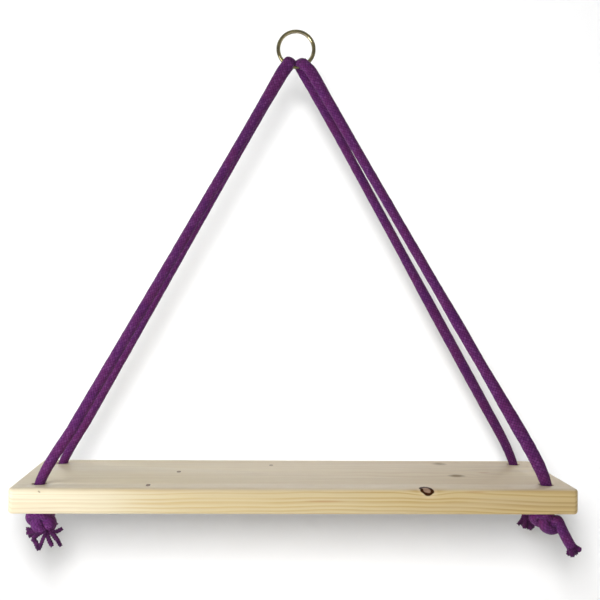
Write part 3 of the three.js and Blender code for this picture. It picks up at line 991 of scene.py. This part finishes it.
def brass():
    """Brass dull and olive, partly aged and partly a painted dark reflection of the room, still smooth
    enough to mirror the lights, and rubbed bright inside, partly wear and partly a painted highlight.
    """
    metal = Finish("aged_brass")
    place = metal.object_place()
    haze = metal.noise(place, 160.0, 3.0, 0.6)
    specks = metal.noise(place, 900.0)
    x, _, z = metal.separate(place)
    spoke = metal.vector("LENGTH", metal.combine(x, 0.0, metal.math("SUBTRACT", z, ring_centre_z)))
    inward = metal.math("DIVIDE", metal.math("SUBTRACT", ring_radius, spoke), RING_WIRE / 2)
    # Bright inside of the wire: partly rubbed wear, partly a painted highlight
    rubbed_and_painted_highlight = metal.math(
        "MULTIPLY", metal.spread(inward, 0.2, 0.75, 0.0, 1.0, smooth=True),
        metal.spread(metal.noise(place, 70.0), 0.42, 0.58, 0.25, 0.8))
    # Dull olive: partly aged brass, partly a painted dark reflection of the room
    dull_and_painted_dark_reflection = metal.mix(metal.spread(haze, 0.35, 0.7), BRASS["dull_and_painted_dark_reflection"], BRASS["dark"])
    colour = metal.mix(rubbed_and_painted_highlight, dull_and_painted_dark_reflection, BRASS["rubbed_and_painted_highlight"])
    rough = metal.spread(haze, 0.3, 0.7, 0.06, 0.13)
    metal.set(
        Base_Color=colour, Metallic=1.0, Roughness=rough, Coat_Weight=0.5, Coat_Roughness=0.04,
        Normal=metal.bump(specks, 0.06, 0.0002),
    )
    return metal.material


# Stage

def seen_straight(finish):
    """1 where the camera, a gloss or clear glass looks straight at a surface, and 0 for its light."""
    seen = finish.node("ShaderNodeLightPath").outputs
    return finish.math("MAXIMUM", seen["Is Camera Ray"], finish.math(
        "MAXIMUM", seen["Is Glossy Ray"], seen["Is Transmission Ray"]))


def stage_paint(name, colour, lift):
    """A pale surface that the camera sees lifted to white, and that keeps its shadows."""
    paint = Finish(name)
    paint.set(
        Base_Color=colour, Roughness=1.0, Specular_IOR_Level=0.0, Emission_Color=(1.0, 1.0, 1.0),
        Emission_Strength=paint.math("MULTIPLY", seen_straight(paint), lift),
    )
    return paint


def open_behind(paint):
    """Makes a painted plane clear when it is seen from its back."""
    back = paint.node("ShaderNodeNewGeometry").outputs["Backfacing"]
    clear = paint.node("ShaderNodeBsdfTransparent").outputs[0]
    mixed = paint.node("ShaderNodeMixShader", {0: back, 1: paint.shader.outputs[0], 2: clear})
    paint.tree.links.new(mixed.outputs[0], paint.tree.nodes["Material Output"].inputs[0])
    return paint.material


def make_stage():
    """A wall behind the shelf and a floor below it, both clear from their backs."""
    bm = bmesh.new()
    bmesh.ops.create_grid(bm, x_segments=1, y_segments=1, size=WALL_SIZE)
    upright = Matrix.Rotation(math.pi / 2, 3, "X")
    bmesh.ops.rotate(bm, cent=(0, 0, 0), matrix=upright, verts=bm.verts[:])
    bmesh.ops.translate(bm, vec=(0, WALL_Y, FLOOR_Z + WALL_SIZE), verts=bm.verts[:])
    wall = finished("wall", bm, smooth=False)
    wall.data.materials.append(open_behind(stage_paint("wall_paint", (0.86, 0.86, 0.86), 0.05)))
    bm = bmesh.new()
    bmesh.ops.create_grid(bm, x_segments=1, y_segments=1, size=FLOOR_SIZE)
    bmesh.ops.translate(bm, vec=(0, 0, FLOOR_Z), verts=bm.verts[:])
    floor = finished("floor", bm, smooth=False)
    floor.data.materials.append(open_behind(stage_paint("floor_paint", (0.8, 0.8, 0.8), 0.58)))
    return wall


def make_world(strength):
    """A plain pale room: an even light on the object, and white behind it."""
    world = bpy.data.worlds.new("room")
    bpy.context.scene.world = world
    world.use_nodes = True
    tree = world.node_tree
    sky = tree.nodes["Background"]
    seen = tree.nodes.new("ShaderNodeLightPath").outputs
    level = tree.nodes.new("ShaderNodeMapRange")
    level.inputs["To Min"].default_value = strength
    level.inputs["To Max"].default_value = 1
    either = None
    for ray in ("Is Camera Ray", "Is Glossy Ray", "Is Transmission Ray"):
        if either is None:
            either = seen[ray]
            continue
        most = tree.nodes.new("ShaderNodeMath")
        most.operation = "MAXIMUM"
        tree.links.new(either, most.inputs[0])
        tree.links.new(seen[ray], most.inputs[1])
        either = most.outputs[0]
    tree.links.new(either, level.inputs["Value"])
    tree.links.new(level.outputs[0], sky.inputs["Strength"])
    sky.inputs["Color"].default_value = (1, 1, 1, 1)


def make_lamp(name, place, target, size, watts, colour=(1, 1, 1), only=None, never=None):
    """A soft lamp. Only and never name a stage piece that it lights alone, or doesn't light."""
    data = bpy.data.lights.new(name, "AREA")
    data.shape = "RECTANGLE"
    data.size, data.size_y = size
    data.energy = watts
    data.color = colour
    lamp = bpy.data.objects.new(name, data)
    lamp.visible_camera = False
    bpy.context.collection.objects.link(lamp)
    aim = Vector(target) - Vector(place)
    lamp.matrix_world = Matrix.Translation(place) @ aim.to_track_quat("-Z", "Y").to_matrix().to_4x4()
    if only or never:
        lit = bpy.data.collections.new(f"{name}_lit")
        lit.objects.link(only or never)
        lit.collection_objects[0].light_linking.link_state = "INCLUDE" if only else "EXCLUDE"
        lamp.light_linking.receiver_collection = lit


def make_lights(wall):
    """Daylight from the left, a little from above and from the room, and the wall's own lamp."""
    make_world(ROOM_LIGHT)
    make_lamp(
        "window", (-0.98, -0.9, -0.42), (-0.05, -0.1, -0.45), (0.4, 0.5), 11.7, (1, 1.01, 1.05), never=wall)
    make_lamp("above", (0.3, -0.7, 0.9), (0.1, 0, -0.5), (1.0, 0.8), 1.1, never=wall)
    make_lamp("room", (0.6, -1.5, -0.62), (0.1, -0.1, -0.5), (0.8, 0.5), 1.6, never=wall)
    make_lamp("wall_wash", (-0.09, -1.2, -0.175), (0.12, WALL_Y, -0.4), (0.16, 0.22), 22.2, only=wall)


# Everything together

def dress_part(piece, material, body, slot, *nodes):
    """Gives a piece its material, and puts it on its body in place of its CAD nodes."""
    piece.data.materials.append(material)
    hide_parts(*nodes)
    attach(piece, body)


def dress():
    """Every piece of the shelf; all but the cords are put on their bodies."""
    cotton, yarn = braided_cotton(), loose_yarn()
    dress_part(make_board(), pine(), "shelf", "board", "board")
    dress_part(make_ring(), brass(), "ring", "ring", "hanging_ring")
    for side in SIDES:
        ends = []
        for face in FACES:
            knot, route = make_knot(side, face)
            fray = make_fray(side, face, route)
            dress_part(knot, cotton, "shelf", "cord", f"{side}_cord_{face}_knot")
            dress_part(fray, yarn, "shelf", "cord", f"{side}_cord_{face}_tail")
            ends += [knot, fray]
        cord, path = make_cord(side)
        cord.data.materials.append(cotton)
        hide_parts(f"{side}_cord_loop", f"{side}_cord_front_leg", f"{side}_cord_back_leg")
        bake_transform(cord)


bpy.context.scene.view_settings.view_transform = "Standard"
make_camera()
make_lights(make_stage())
dress()
